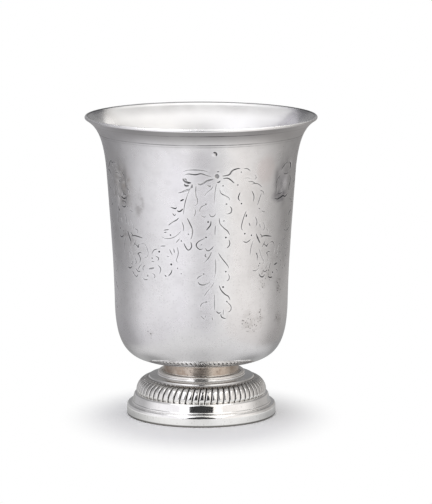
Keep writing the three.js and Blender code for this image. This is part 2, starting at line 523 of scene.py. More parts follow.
class BowlSection:
    """The bowl's section as a fine chain of points, from the axis under the bowl, up the outer face,
    over the lip and down the inner face to the axis again. It is read by the length along it."""

    def __init__(self):
        fine = 240
        coarse = 40
        lip_radius = LIP_THICKNESS / 2
        lip_way = np.array((math.cos(LIP_ANGLE), math.sin(LIP_ANGLE)))
        lip_side = np.array((lip_way[1], -lip_way[0]))
        lip_centre = np.array((RIM_RADIUS - lip_radius, RIM_LEVEL - lip_radius))
        lip_foot = lip_centre + lip_radius * lip_side
        belly_lift = BELLY_FULLNESS * (BELLY_LEVEL - BOWL_LEVEL)
        belly_reach = BELLY_FULLNESS * (BELLY_RADIUS - SEAT_RADIUS)
        handle = (FLARE_LEVEL - BELLY_LEVEL) / 3
        under = np.linspace((0.0, BOWL_LEVEL), (SEAT_RADIUS, BOWL_LEVEL), coarse)
        belly = bezier(
            fine,
            (SEAT_RADIUS, BOWL_LEVEL),
            (SEAT_RADIUS + belly_reach, BOWL_LEVEL),
            (BELLY_RADIUS - BELLY_SLOPE * belly_lift, BELLY_LEVEL - belly_lift),
            (BELLY_RADIUS, BELLY_LEVEL),
        )
        wall = bezier(
            fine,
            (BELLY_RADIUS, BELLY_LEVEL),
            (BELLY_RADIUS + BELLY_SLOPE * handle, BELLY_LEVEL + handle),
            (FLARE_RADIUS - FLARE_SLOPE * handle, FLARE_LEVEL - handle),
            (FLARE_RADIUS, FLARE_LEVEL),
        )
        flare = bezier(
            fine,
            (FLARE_RADIUS, FLARE_LEVEL),
            (FLARE_RADIUS + FLARE_SLOPE * FLARE_HANDLE, FLARE_LEVEL + FLARE_HANDLE),
            lip_foot - LIP_HANDLE * lip_way,
            lip_foot,
        )
        outer = np.vstack((under[:-1], belly[:-1], wall[:-1], flare))
        thickness = np.concatenate((
            np.full(len(under) - 1, BOWL_FLOOR),
            np.linspace(BOWL_FLOOR, BOWL_WALL, fine),
            np.full(fine, BOWL_WALL),
            BOWL_WALL + (LIP_THICKNESS - BOWL_WALL) * np.linspace(0, 1, fine + 1) ** 3,
        ))
        along = directions(outer)
        inward = np.column_stack((-along[:, 1], along[:, 0]))
        inner = outer + inward * thickness[:, None]
        inner[0, 0] = 0.0
        angles = LIP_ANGLE - math.pi / 2 + math.pi * np.linspace(0, 1, coarse)
        lip = lip_centre + lip_radius * np.column_stack((np.cos(angles), np.sin(angles)))
        self.chain = np.vstack((outer, lip[1:-1], inner[::-1]))
        self.length = lengths_along(self.chain)
        along = directions(self.chain, self.length)
        self.normal = np.column_stack((along[:, 1], -along[:, 0]))
        self.lip_start = self.length[len(outer) - 1]
        self.lip_end = self.length[len(outer) + len(lip) - 3]
        # Levels are looked up past the flat underside, where they rise
        rising = slice(len(under) + 20, len(outer))
        self.rising_level = outer[rising, 1]
        self.rising_length = self.length[rising]

    def at_level(self, level):
        """Length along the outer face at a level on the bowl."""
        return np.interp(level, self.rising_level, self.rising_length)

    def place(self, length):
        """Radius and level at a length, and the radius and level of the way out there."""
        columns = (*self.chain.T, *self.normal.T)
        return [np.interp(length, self.length, column) for column in columns]


# Dents in the wall: azimuth in degrees from the front, level, half width, half height, depth, crumpling
DENTS = (
    (-57, 91.0, 3.0, 7.6, 0.45, 1.6),
    (58, 92.0, 3.8, 6.0, 0.5, 1.4),
    (65, 99.0, 2.8, 3.8, 0.35, 1.2),
    (128, 60.0, 5.0, 6.0, 0.4, 0.2),
    (-150, 82.0, 4.5, 5.0, 0.35, 0.2),
)
PLANISHING = 0.035


def wall_unevenness(azimuth, level):
    """How far the hammered and worn wall stands out from its true section, as an array."""
    wall_centimetres = 3.4
    hammer_marks = 1.3
    folds = 3.5
    result = np.zeros_like(azimuth)
    crumple = np.zeros_like(azimuth)
    for index in range(len(azimuth)):
        spot = Vector((
            math.sin(azimuth[index]) * wall_centimetres,
            math.cos(azimuth[index]) * wall_centimetres,
            level[index] * 0.1,
        ))
        result[index] = PLANISHING * noise.noise(spot * hammer_marks)
        crumple[index] = noise.noise(spot * folds)
    for degrees, height, half_width, half_height, depth, crumpling in DENTS:
        turn = azimuth - math.radians(degrees)
        across = (np.mod(turn + math.pi, 2 * math.pi) - math.pi) * FLARE_RADIUS / half_width
        up = (level - height) / half_height
        result -= depth * np.exp(-across ** 4 - up ** 4) * (1 + crumpling * crumple)
    return result


# Engraved garland. Strokes are drawn on the unrolled wall: millimetres along the arc from the axis of
# a pendant, and the level above the table. A stroke of a drawing is its weight, then its points; a dot
# is its place and its radius.

ARC_RADIUS = 34.5
HALF_ROUND = math.pi * ARC_RADIUS
PENDANT_AZIMUTH = math.radians(9)
GARLAND_REPEATS = 4
SWAG_MIDDLE = ARC_RADIUS * math.pi / GARLAND_REPEATS
STROKE_WIDTH = 0.46
STROKE_DEPTH = 0.13
STROKE_STEP = 0.5
UNSTEADY_HAND = 0.15

# The engraved strip of the wall, in levels and in columns all round
STRIP_LOW = 36.0
STRIP_HIGH = 106.3
STRIP_ROW = 1.25
STRIP_MARGIN = 0.6
STRIP_TOP_MARGIN = 0.4
SEAM_MARGIN = 0.65
COLUMNS = 180

# The small punch mark under the lip
MARK_DEGREES = 7.2
MARK_LEVEL = 104.8
MARK_RADIUS = 0.6
MARK_CUT_RADIUS = 0.95

# Levels that a pendant's leaves hang from, and the level of a swag's cluster
LEAF_LEVELS = (94.4, 81.4, 68.4, 55.8)
CLUSTER_LEVEL = 63.5

# Four leaves as the engraver drew them, from the stem down. Their points are (across, down).
LEAVES = (
    {
        "strokes": (
            (1.9, (-3.4, 1.1), (-2.5, 1.5), (-1.5, 1.3)),
            (1.2, (-0.9, 1.3), (-1.8, 2.5), (-3.0, 3.7), (-4.6, 5.4)),
            (0.9, (0.0, 0.5), (-0.4, 3.2), (-0.6, 6.1), (-0.7, 8.5)),
            (1.0, (1.1, 2.7), (1.9, 4.3), (3.5, 5.4), (4.8, 6.3), (5.2, 7.3)),
            (1.0, (4.9, 9.2), (5.8, 10.4), (5.5, 11.6), (4.4, 12.3), (3.5, 12.1)),
            (1.0, (-3.8, 8.5), (-5.3, 9.2), (-6.0, 10.6), (-5.4, 11.7)),
            (0.9, (-5.7, 12.3), (-4.6, 13.2), (-3.5, 12.9)),
            (0.8, (-2.3, 11.8), (-1.8, 13.0), (-0.6, 12.7), (-0.1, 11.6)),
        ),
        "dots": ((2.4, 1.6, 0.30), (4.0, 8.4, 0.36), (-3.6, 8.2, 0.30)),
    },
    {
        "strokes": (
            (1.3, (-1.8, 1.6), (-1.9, 3.1), (-2.7, 4.3), (-3.8, 5.5)),
            (0.7, (-0.1, 3.1), (-0.2, 5.0), (-0.3, 7.4)),
            (1.0, (1.1, 0.5), (1.6, 2.6), (3.2, 4.5), (4.6, 5.7), (5.4, 7.4)),
            (1.0, (4.9, 8.9), (5.5, 10.2), (5.2, 11.6), (4.2, 12.4)),
            (1.1, (-3.8, 8.2), (-6.2, 9.3), (-7.3, 10.8), (-6.2, 12.3), (-4.4, 12.0)),
            (0.6, (-5.8, 10.9), (-4.8, 10.5)),
            (1.0, (-4.1, 11.7), (-3.0, 12.9), (-1.6, 12.4), (-0.7, 11.0)),
        ),
        "dots": ((-2.8, 2.0, 0.42), (3.0, 1.8, 0.25), (3.9, 8.2, 0.34), (-3.5, 8.0, 0.34)),
    },
    {
        "strokes": (
            (1.3, (-3.6, 1.0), (-4.1, 1.9), (-3.2, 2.5)),
            (1.3, (-1.6, 0.2), (-2.2, 1.9), (-3.3, 3.6), (-4.4, 4.8)),
            (0.8, (-0.2, 2.9), (0.0, 5.7), (-0.1, 8.6), (-0.7, 11.0)),
            (1.0, (1.1, 0.5), (1.9, 2.3), (3.7, 4.3), (4.9, 6.0), (5.1, 7.0)),
            (0.9, (4.9, 8.6), (5.6, 10.0), (5.2, 11.4), (4.1, 11.9)),
            (1.0, (-4.9, 9.0), (-6.4, 10.0), (-7.1, 11.0)),
            (1.2, (-6.8, 11.7), (-5.9, 12.7), (-4.2, 13.0), (-2.5, 12.0), (-2.1, 11.2)),
        ),
        "dots": ((4.1, 8.1, 0.34), (-4.5, 8.8, 0.32)),
    },
    {
        "strokes": (
            (0.9, (-0.4, -1.0), (-1.3, 1.0), (-3.1, 2.9), (-4.6, 4.8)),
            (1.2, (1.4, 0.5), (2.2, 2.4), (3.9, 4.0), (5.3, 5.1), (6.0, 6.7)),
            (1.0, (4.9, 7.1), (6.2, 8.6), (6.2, 10.1), (5.2, 11.0)),
            (1.1, (-3.6, 6.8), (-5.2, 7.4), (-6.1, 8.8)),
            (0.6, (-0.2, 3.6), (-0.3, 7.0), (-0.2, 10.2)),
            (0.9, (-5.7, 11.9), (-4.8, 13.0), (-3.8, 13.8)),
            (0.8, (-3.6, 11.6), (-4.2, 13.1)),
            (0.8, (-1.2, 12.4), (-1.1, 14.0)),
            (1.0, (0.2, 10.2), (1.5, 11.3), (2.5, 10.6)),
            (1.0, (2.3, 11.3), (2.7, 12.7), (4.5, 13.4)),
            (0.8, (3.3, 9.8), (3.0, 12.1)),
        ),
        "dots": ((3.1, 1.4, 0.40), (4.6, 6.8, 0.34), (-3.3, 6.7, 0.34)),
    },
)

# The boss that the garland hangs from, and the bow round it, with a ribbon to either side
BOSS = ((0.2, 96.6), 0.85)
BOW = {
    "strokes": (
        (1.3, (-0.1, 98.2), (1.2, 98.4)),
        (1.3, (0.0, 94.6), (0.8, 94.4), (1.5, 95.0)),
        # Left ribbon, and the knot at its end
        (1.4, (-1.8, 96.5), (-3.2, 96.8), (-5.3, 97.8), (-7.4, 97.4), (-9.7, 97.6), (-11.3, 97.1)),
        (0.6, (-2.8, 98.2), (-5.5, 99.0), (-9.7, 99.0), (-12.0, 98.1)),
        (1.6, (-0.9, 95.6), (-3.0, 95.2), (-4.5, 94.2), (-5.9, 93.6), (-7.0, 94.1)),
        (1.9, (-12.0, 96.2), (-11.5, 95.0), (-10.1, 94.1), (-8.7, 94.3)),
        (1.8, (-11.4, 96.0), (-10.4, 95.0)),
        (1.5, (-11.5, 94.1), (-11.0, 93.2), (-9.4, 93.0)),
        (1.2, (-8.9, 93.6), (-8.5, 92.7), (-8.8, 91.8)),
        (1.2, (-9.2, 92.1), (-10.6, 90.9), (-13.4, 90.4)),
        # Right ribbon, with a curl
        (1.4, (1.9, 96.6), (4.4, 97.0), (5.8, 98.4), (7.8, 99.3), (8.9, 99.1)),
        (1.0, (9.9, 99.2), (11.5, 99.0), (13.0, 97.8)),
        (1.3, (2.0, 95.7), (4.4, 95.5), (6.9, 93.7)),
        (1.8, (8.2, 93.5), (7.7, 92.5)),
        (0.8, (12.0, 93.9), (13.8, 93.8), (15.4, 93.0)),
        (0.6, (10.0, 95.4), (11.9, 95.5), (13.1, 94.9)),
    ),
    "dots": ((9.2, 97.9, 0.26),),
}

# The two halves of a swag at either side of a pendant
LEFT_SWAG = {
    "strokes": (
        (0.8, (-8.3, 94.0), (-9.7, 91.1), (-11.4, 86.3), (-12.1, 82.0)),
        (1.2, (-7.4, 93.3), (-7.4, 89.7), (-6.7, 87.8), (-6.9, 86.1), (-7.8, 85.3), (-8.2, 85.9)),
        (1.2, (-14.0, 90.2), (-12.1, 90.9), (-9.7, 92.1)),
        (1.5, (-13.3, 87.0), (-11.6, 88.0)),
        (1.4, (-16.9, 84.8), (-15.0, 84.2), (-14.3, 84.9)),
        (1.4, (-14.5, 83.6), (-13.3, 83.1), (-12.0, 84.4)),
        (1.1, (-18.0, 77.7), (-16.5, 79.0), (-14.5, 80.0), (-13.4, 81.0)),
        (1.0, (-7.8, 84.6), (-7.6, 83.0), (-8.1, 81.1)),
        (1.2, (-10.7, 81.1), (-9.7, 78.7), (-8.7, 76.3), (-9.0, 74.1), (-9.5, 72.5)),
        (1.3, (-9.4, 72.2), (-8.9, 70.3), (-9.5, 69.0), (-10.7, 68.8), (-11.6, 70.3), (-12.0, 71.4)),
        (0.9, (-20.0, 75.9), (-17.4, 76.2)),
        (0.7, (-21.0, 73.5), (-19.0, 72.8), (-16.5, 73.0), (-14.3, 74.1), (-12.8, 76.0)),
        (0.9, (-21.5, 69.7), (-19.0, 69.9)),
        (0.8, (-13.4, 73.2), (-15.0, 71.2)),
        (0.8, (-14.5, 70.0), (-14.1, 67.2), (-15.0, 64.7), (-14.1, 63.6)),
        (1.2, (-16.8, 61.2), (-17.2, 59.5), (-18.4, 58.3)),
        (1.0, (-20.0, 58.9), (-19.1, 57.9)),
        (0.9, (-16.0, 82.6), (-15.3, 81.7), (-14.6, 82.4)),
        (0.9, (-12.6, 79.6), (-11.9, 77.4), (-12.2, 75.6)),
        (0.9, (-19.8, 74.7), (-18.5, 75.2)),
        (0.9, (-17.6, 68.8), (-16.5, 66.4)),
        (0.9, (-15.9, 69.2), (-15.6, 67.2)),
        (0.9, (-19.0, 66.2), (-17.4, 65.5)),
    ),
    "dots": (
        (-10.3, 74.6, 0.36), (-16.9, 74.2, 0.34), (-12.9, 72.2, 0.30), (-16.9, 63.1, 0.42),
        (-14.5, 61.6, 0.25), (-13.1, 59.7, 0.22),
    ),
}
RIGHT_SWAG = {
    "strokes": (
        (1.0, (9.0, 90.5), (8.4, 88.1), (9.0, 86.7)),
        (1.0, (11.8, 83.2), (10.8, 81.0), (10.2, 78.7), (10.0, 76.6), (10.6, 75.3)),
        (1.5, (12.0, 81.9), (11.6, 80.6)),
        (1.2, (10.6, 71.6), (12.3, 71.0), (14.1, 72.1)),
        (0.8, (13.2, 93.0), (16.0, 92.9), (18.6, 91.3)),
        (0.7, (18.3, 89.4), (17.2, 86.7), (16.3, 84.4)),
        (0.7, (18.3, 82.3), (20.9, 81.5)),
        (0.8, (19.3, 78.5), (20.5, 76.2), (19.9, 74.4)),
        (1.7, (16.5, 74.1), (17.4, 72.3), (18.8, 69.8)),
        (1.2, (18.6, 72.2), (20.9, 72.6), (25.0, 72.0)),
        (0.8, (15.4, 71.6), (14.4, 68.8), (14.0, 65.5)),
        (0.9, (18.0, 68.4), (19.9, 64.9), (21.3, 63.0)),
        (1.2, (15.4, 60.0), (17.2, 59.7), (18.6, 60.7)),
        (0.9, (13.6, 90.6), (14.8, 88.4), (14.4, 86.0)),
        (0.9, (15.6, 80.6), (16.6, 78.4), (16.2, 76.4)),
        (1.0, (17.8, 77.6), (18.4, 75.8)),
        (1.2, (20.4, 69.8), (22.0, 68.7), (23.4, 69.6)),
        (1.0, (22.2, 66.2), (23.4, 64.2), (22.8, 62.0)),
        (1.0, (20.4, 60.4), (21.8, 58.9), (23.4, 59.4)),
        (0.9, (14.6, 96.6), (15.4, 95.4), (14.8, 94.4)),
        (0.9, (17.4, 90.4), (18.9, 89.6), (19.6, 88.0)),
        (0.9, (17.0, 83.6), (18.2, 83.0)),
        (0.9, (13.0, 78.6), (13.6, 76.8)),
        (0.9, (21.2, 75.6), (22.6, 74.6), (22.4, 73.4)),
        (0.9, (16.8, 66.8), (18.0, 64.6)),
    ),
    "dots": ((9.5, 85.8, 0.34), (11.6, 74.3, 0.36), (14.3, 73.4, 0.34), (19.0, 62.4, 0.34)),
}

# Scrolled leaves and berries at the lowest point of a swag, from the cluster's middle
CLUSTER = {
    "strokes": (
        (0.9, (-3.5, 6.1), (-1.4, 6.2), (0.1, 4.2), (-0.2, 1.9), (-2.2, 1.0)),
        (0.9, (1.8, 2.7), (2.9, 4.5), (4.6, 5.0)),
        (1.0, (1.2, 0.1), (3.0, 0.1)),
        (1.6, (0.1, -2.9), (2.9, -2.3)),
        (1.4, (-8.6, -4.5), (-7.5, -6.2), (-6.1, -6.5), (-5.1, -5.4)),
        (0.9, (-5.5, -4.1), (-4.5, -2.6), (-2.8, -0.9)),
        (1.1, (-3.5, -6.3), (-2.2, -7.2), (-0.4, -7.2)),
        (0.6, (-9.7, 3.5), (-9.6, -0.3)),
        (0.9, (-8.9, 10.3), (-7.2, 9.0)),
        (0.9, (4.2, -1.0), (5.6, -2.4), (5.0, -4.6)),
        (0.9, (-5.4, 1.7), (-4.0, 2.9), (-2.7, 2.6)),
        (0.9, (-7.2, 0.8), (-6.0, -0.7), (-6.6, -2.2)),
        (0.9, (3.6, 2.4), (4.8, 1.4), (4.4, 0.3)),
        (0.9, (-1.2, -1.6), (-2.6, -2.7), (-2.3, -4.2)),
        (0.9, (1.7, -4.4), (2.9, -5.4), (2.4, -6.6)),
        (0.9, (-7.6, 4.8), (-6.4, 6.2), (-5.6, 7.6)),
    ),
    "dots": (
        (-4.8, 5.1, 0.38), (5.3, 4.0, 0.38), (-0.5, -5.6, 0.38), (-8.6, -2.1, 0.38), (1.9, 1.4, 0.38),
    ),
}

# Deep cuts in the two dents at the sides, whose dark colour paints the dents' dark reflected outlines:
# points as arc length from the front and level, and weight
SIDE_MARKS = (
    # Right: an upright frame with a loop above it
    (((34.2, 94.8), (32.2, 93.2), (31.3, 91.6), (31.9, 89.6), (31.7, 87.8)), 2.0),
    (((30.4, 86.4), (33.0, 85.9), (36.6, 86.6), (38.2, 86.2), (40.2, 87.2)), 1.4),
    (((32.6, 88.2), (34.6, 87.7), (36.4, 88.4)), 1.0),
    (((41.0, 94.2), (42.0, 91.8), (41.0, 89.8), (41.2, 87.8)), 1.6),
    (((36.2, 95.4), (37.6, 94.8), (40.2, 95.1)), 0.9),
    (((34.6, 96.2), (35.2, 97.8), (37.0, 99.0), (38.8, 99.3)), 1.4),
    (((40.6, 99.2), (41.6, 97.9), (40.9, 96.0)), 1.5),
    # Left: crumpled folds
    (((-38.2, 91.3), (-37.4, 88.6), (-36.6, 85.6)), 1.2),
    (((-30.9, 94.0), (-30.4, 91.0), (-30.6, 87.6)), 1.0),
    (((-35.2, 96.4), (-33.6, 95.4), (-32.2, 94.4)), 1.1),
    (((-37.0, 92.6), (-35.4, 92.0)), 1.1),
    (((-36.0, 86.9), (-33.8, 86.0), (-31.6, 86.6)), 1.3),
    (((-34.6, 88.6), (-33.2, 87.6), (-31.8, 87.8)), 0.9),
    (((-35.8, 84.7), (-33.6, 85.0), (-32.0, 84.4)), 0.9),
    (((-35.2, 83.2), (-33.4, 82.8), (-31.8, 83.6)), 1.1),
    (((-41.0, 98.6), (-38.6, 99.2), (-37.0, 98.4)), 1.1),
    (((-38.8, 96.6), (-37.2, 96.0)), 1.2),
)


class Garland:
    """The strokes and dots of one repeat: a bow with a pendant of leaves, half a swag at either side,
    and the cluster at the lowest point of the swag on the right."""

    def __init__(self, seed):
        self.hand = random.Random(seed)
        self.strokes = []
        self.dots = []
        self.dot(*BOSS)
        self.engrave(BOW)
        for leaf, level in zip(LEAVES, LEAF_LEVELS):
            self.engrave(leaf, level=level, way=-1)
        self.engrave(LEFT_SWAG)
        self.engrave(RIGHT_SWAG)
        self.engrave(CLUSTER, SWAG_MIDDLE, CLUSTER_LEVEL)

    def engrave(self, drawing, across=0.0, level=0.0, way=1):
        """A drawing on the wall, from a place there, with its second measure up (1) or down (-1)."""
        for weight, *points in drawing["strokes"]:
            self.cut(weight, *((across + x, level + way * y) for x, y in points))
        for x, y, radius in drawing["dots"]:
            self.dot((across + x, level + way * y), radius)

    def wobble(self, point):
        return Vector((
            point[0] + self.hand.uniform(-UNSTEADY_HAND, UNSTEADY_HAND),
            point[1] + self.hand.uniform(-UNSTEADY_HAND, UNSTEADY_HAND),
        ))

    def cut(self, weight, *points):
        """One stroke of the graver through the points, thinner and shallower where it is worn."""
        wear = self.hand.uniform(0.85, 1.1) * max(weight, 0.85)
        self.strokes.append(([self.wobble(point) for point in points], wear))

    def dot(self, point, radius):
        self.dots.append((self.wobble(point), radius * self.hand.uniform(0.85, 1.15)))


def smooth_path(points, step):
    """Evenly spaced points on a smooth curve through the given ones, as an array."""
    line_steps = 20
    span_steps = 16
    given = np.array([tuple(point) for point in points])
    if len(given) == 2:
        dense = given[0] + (given[1] - given[0]) * np.linspace(0, 1, line_steps)[:, None]
    else:
        padded = np.vstack((2 * given[0] - given[1], given, 2 * given[-1] - given[-2]))
        t = np.linspace(0, 1, span_steps, endpoint=False)[:, None]
        spans = []
        for index in range(len(given) - 1):
            p0, p1, p2, p3 = padded[index:index + 4]
            spans.append(0.5 * (
                2 * p1 + (p2 - p0) * t + (2 * p0 - 5 * p1 + 4 * p2 - p3) * t ** 2
                + (3 * p1 - p0 - 3 * p2 + p3) * t ** 3
            ))
        dense = np.vstack((*spans, given[-1:]))
    length = lengths_along(dense)
    count = max(3, int(round(length[-1] / step)) + 1)
    wanted = np.linspace(0, length[-1], count)
    return np.column_stack([np.interp(wanted, length, column) for column in dense.T])


class WallNet:
    """The unrolled strip as points and edges to triangulate, each point with its depth below the
    surface and its share of the painted glint along the cut's edges."""

    def __init__(self):
        self.points = []
        self.depths = []
        self.painted_glints = []
        self.edges = []
        self.marked = []

    def add(self, point, depth, painted_glint=0.0):
        self.points.append((float(point[0]), float(point[1])))
        self.depths.append(depth)
        self.painted_glints.append(painted_glint)
        return len(self.points) - 1

    def fits(self, points):
        """Whether all points lie on the strip, clear of its edges."""
        across, level = points.T
        return (
            np.all(np.abs(across) < HALF_ROUND - STRIP_MARGIN)
            and np.all(level > STRIP_LOW + STRIP_MARGIN)
            and np.all(level < STRIP_HIGH - STRIP_TOP_MARGIN)
        )

    def groove(self, path, wear):
        """A V-shaped stroke with pointed ends: an edge at either side and a line along its bottom."""
        if not self.fits(path):
            return
        along = directions(path)
        side = np.column_stack((-along[:, 1], along[:, 0]))
        swell = np.sin(math.pi * np.linspace(0, 1, len(path))) ** 0.3
        half_width = STROKE_WIDTH / 2 * wear * swell
        left = path + side * half_width[:, None]
        right = path - side * half_width[:, None]
        last = len(path) - 1
        start = self.add(path[0], 0.0)
        finish = self.add(path[last], 0.0)
        deepest = STROKE_DEPTH * min(wear, 1.3)
        for chain, depth, painted_glint in ((left, 0.0, 1.0), (path, deepest, 0.0), (right, 0.0, 1.0)):
            before = start
            for index in range(1, last):
                here = self.add(chain[index], depth * swell[index], painted_glint)
                self.edges.append((before, here))
                before = here
            self.edges.append((before, finish))
        self.marked.extend(path)

    def pit(self, centre, radius, rings=((1.0, 0.0), (0.55, 1.2), (0.0, 1.5))):
        """A round punched dot. Each ring has its share of the radius and its depth in strokes; the
        last is the dot's middle, which stands up where its depth is less than nothing."""
        corners = 9
        turns = 2 * math.pi * np.arange(corners) / corners
        circle = np.column_stack((np.cos(turns), np.sin(turns)))
        centre = np.array(centre)
        if not self.fits(centre + radius * circle):
            return
        for share, depth in rings[:-1]:
            first = len(self.points)
            for way in circle:
                self.add(centre + radius * share * way, depth * STROKE_DEPTH, float(depth == 0))
            for k in range(corners):
                self.edges.append((first + k, first + (k + 1) % corners))
        middle_depth = rings[-1][1]
        self.add(centre, middle_depth * STROKE_DEPTH, float(middle_depth < 0))
        self.marked.append(centre)
        self.marked.extend(centre + radius * circle)

    def fill(self):
        """Plain points between the strokes, and the edges of the strip."""
        clear = 0.55
        tree = kdtree.KDTree(len(self.marked))
        for index, point in enumerate(self.marked):
            tree.insert((point[0], point[1], 0), index)
        tree.balance()
        rows = int(round((STRIP_HIGH - STRIP_LOW) / STRIP_ROW))
        for row in range(rows + 1):
            level = STRIP_LOW + (STRIP_HIGH - STRIP_LOW) * row / rows
            shift = 0.5 if row % 2 and row != rows else 0.0
            for column in range(COLUMNS + 1):
                if shift and column == COLUMNS:
                    continue
                across = -HALF_ROUND + 2 * HALF_ROUND * (column + shift) / COLUMNS
                on_edge = row in (0, rows) or column in (0, COLUMNS)
                if not on_edge and tree.find((across, level, 0))[2] < clear:
                    continue
                self.add((across, level), 0.0)

    def triangles(self):
        """Places, depths, shares of painted glint and faces. Where strokes cross, a new point gets most of
        the depth.
        """
        result = geometry.delaunay_2d_cdt(
            [Vector(point) for point in self.points], self.edges, [], 0, 1e-5, True
        )
        places = np.array([tuple(point) for point in result[0]])
        depths = np.full(len(places), STROKE_DEPTH * 0.6)
        painted_glints = np.zeros(len(places))
        for index, sources in enumerate(result[3]):
            if sources:
                depths[index] = max(self.depths[source] for source in sources)
                painted_glints[index] = max(self.painted_glints[source] for source in sources)
        return places, depths, painted_glints, result[2]


def engraved_wall():
    """The strip of the wall with all that is cut into it, unrolled."""
    net = WallNet()
    around = 2 * HALF_ROUND
    for repeat in range(GARLAND_REPEATS):
        garland = Garland(seed=11 + repeat)
        shift = ARC_RADIUS * (PENDANT_AZIMUTH + 2 * math.pi * repeat / GARLAND_REPEATS)
        for points, wear in garland.strokes:
            path = smooth_path(points, STROKE_STEP) + (shift, 0)
            # A stroke that crosses the back, where the strip's ends meet, is cut there in two
            for turn in (0, -around):
                part = path + (turn, 0)
                part = part[np.abs(part[:, 0]) < HALF_ROUND - SEAM_MARGIN]
                if len(part) > 2:
                    net.groove(part, wear)
        for centre, radius in garland.dots:
            place = centre.x + shift
            net.pit((place - around * round(place / around), centre.y), radius)
    for points, weight in SIDE_MARKS:
        net.groove(smooth_path(points, STROKE_STEP), weight)
    # The punch mark is a raised dot with a deep cut round its right, whose dark colour paints the dot's
    # shaded side
    mark = Vector((ARC_RADIUS * math.radians(MARK_DEGREES), MARK_LEVEL))
    cut = []
    for degrees in (-35, 15, 65, 115):
        turn = math.radians(degrees)
        cut.append(mark + MARK_CUT_RADIUS * Vector((math.cos(turn), math.sin(turn))))
    net.groove(smooth_path(cut, 0.3), 1.7)
    net.pit(mark, MARK_RADIUS, ((1.0, 0.0), (0.0, -1.8)))
    net.fill()
    return net.triangles()


def closed_wall(places, depths, painted_glints, faces):
    """The unrolled wall with its two ends joined, so that its points at the back are shared."""
    left = np.nonzero(np.abs(places[:, 0] + HALF_ROUND) < 1e-3)[0]
    right = np.nonzero(np.abs(places[:, 0] - HALF_ROUND) < 1e-3)[0]
    by_level = {round(places[index, 1], 3): index for index in left}
    kept = np.setdiff1d(np.arange(len(places)), right)
    number = {old: new for new, old in enumerate(kept)}
    for index in right:
        number[index] = number[by_level[round(places[index, 1], 3)]]
    faces = [tuple(number[corner] for corner in face) for face in faces]
    return places[kept], depths[kept], painted_glints[kept], faces


def plain_rows(lengths):
    """Rows round the bowl: the length along its section, and the depth below it."""
    return [(length, 0.0) for length in lengths]


def rows_under_lip(section, azimuths):
    """Rows from the strip to the lip, with turned lines that are deepest a little right of the front."""
    line_width = 0.32
    clear = 0.2
    freshest = np.exp(-((azimuths - math.radians(10)) / math.radians(24)) ** 2)
    rows = []
    # Level and depth of a line, and the share that is left of it where it is most worn
    for level, depth, worn in ((107.6, 0.04, 0.5), (108.4, 0.06, 0.7), (112.0, 0.07, 0.35)):
        spot = section.at_level(level)
        line = depth * (worn + (1 - worn) * freshest)
        rows += [(spot - line_width, 0.0), (spot, line), (spot + line_width, 0.0)]
    for spot in np.linspace(section.at_level(STRIP_HIGH), section.lip_start, 22)[1:]:
        if min(abs(spot - row[0]) for row in rows) > clear:
            rows.append((spot, 0.0))
    return sorted(rows, key=lambda row: row[0])


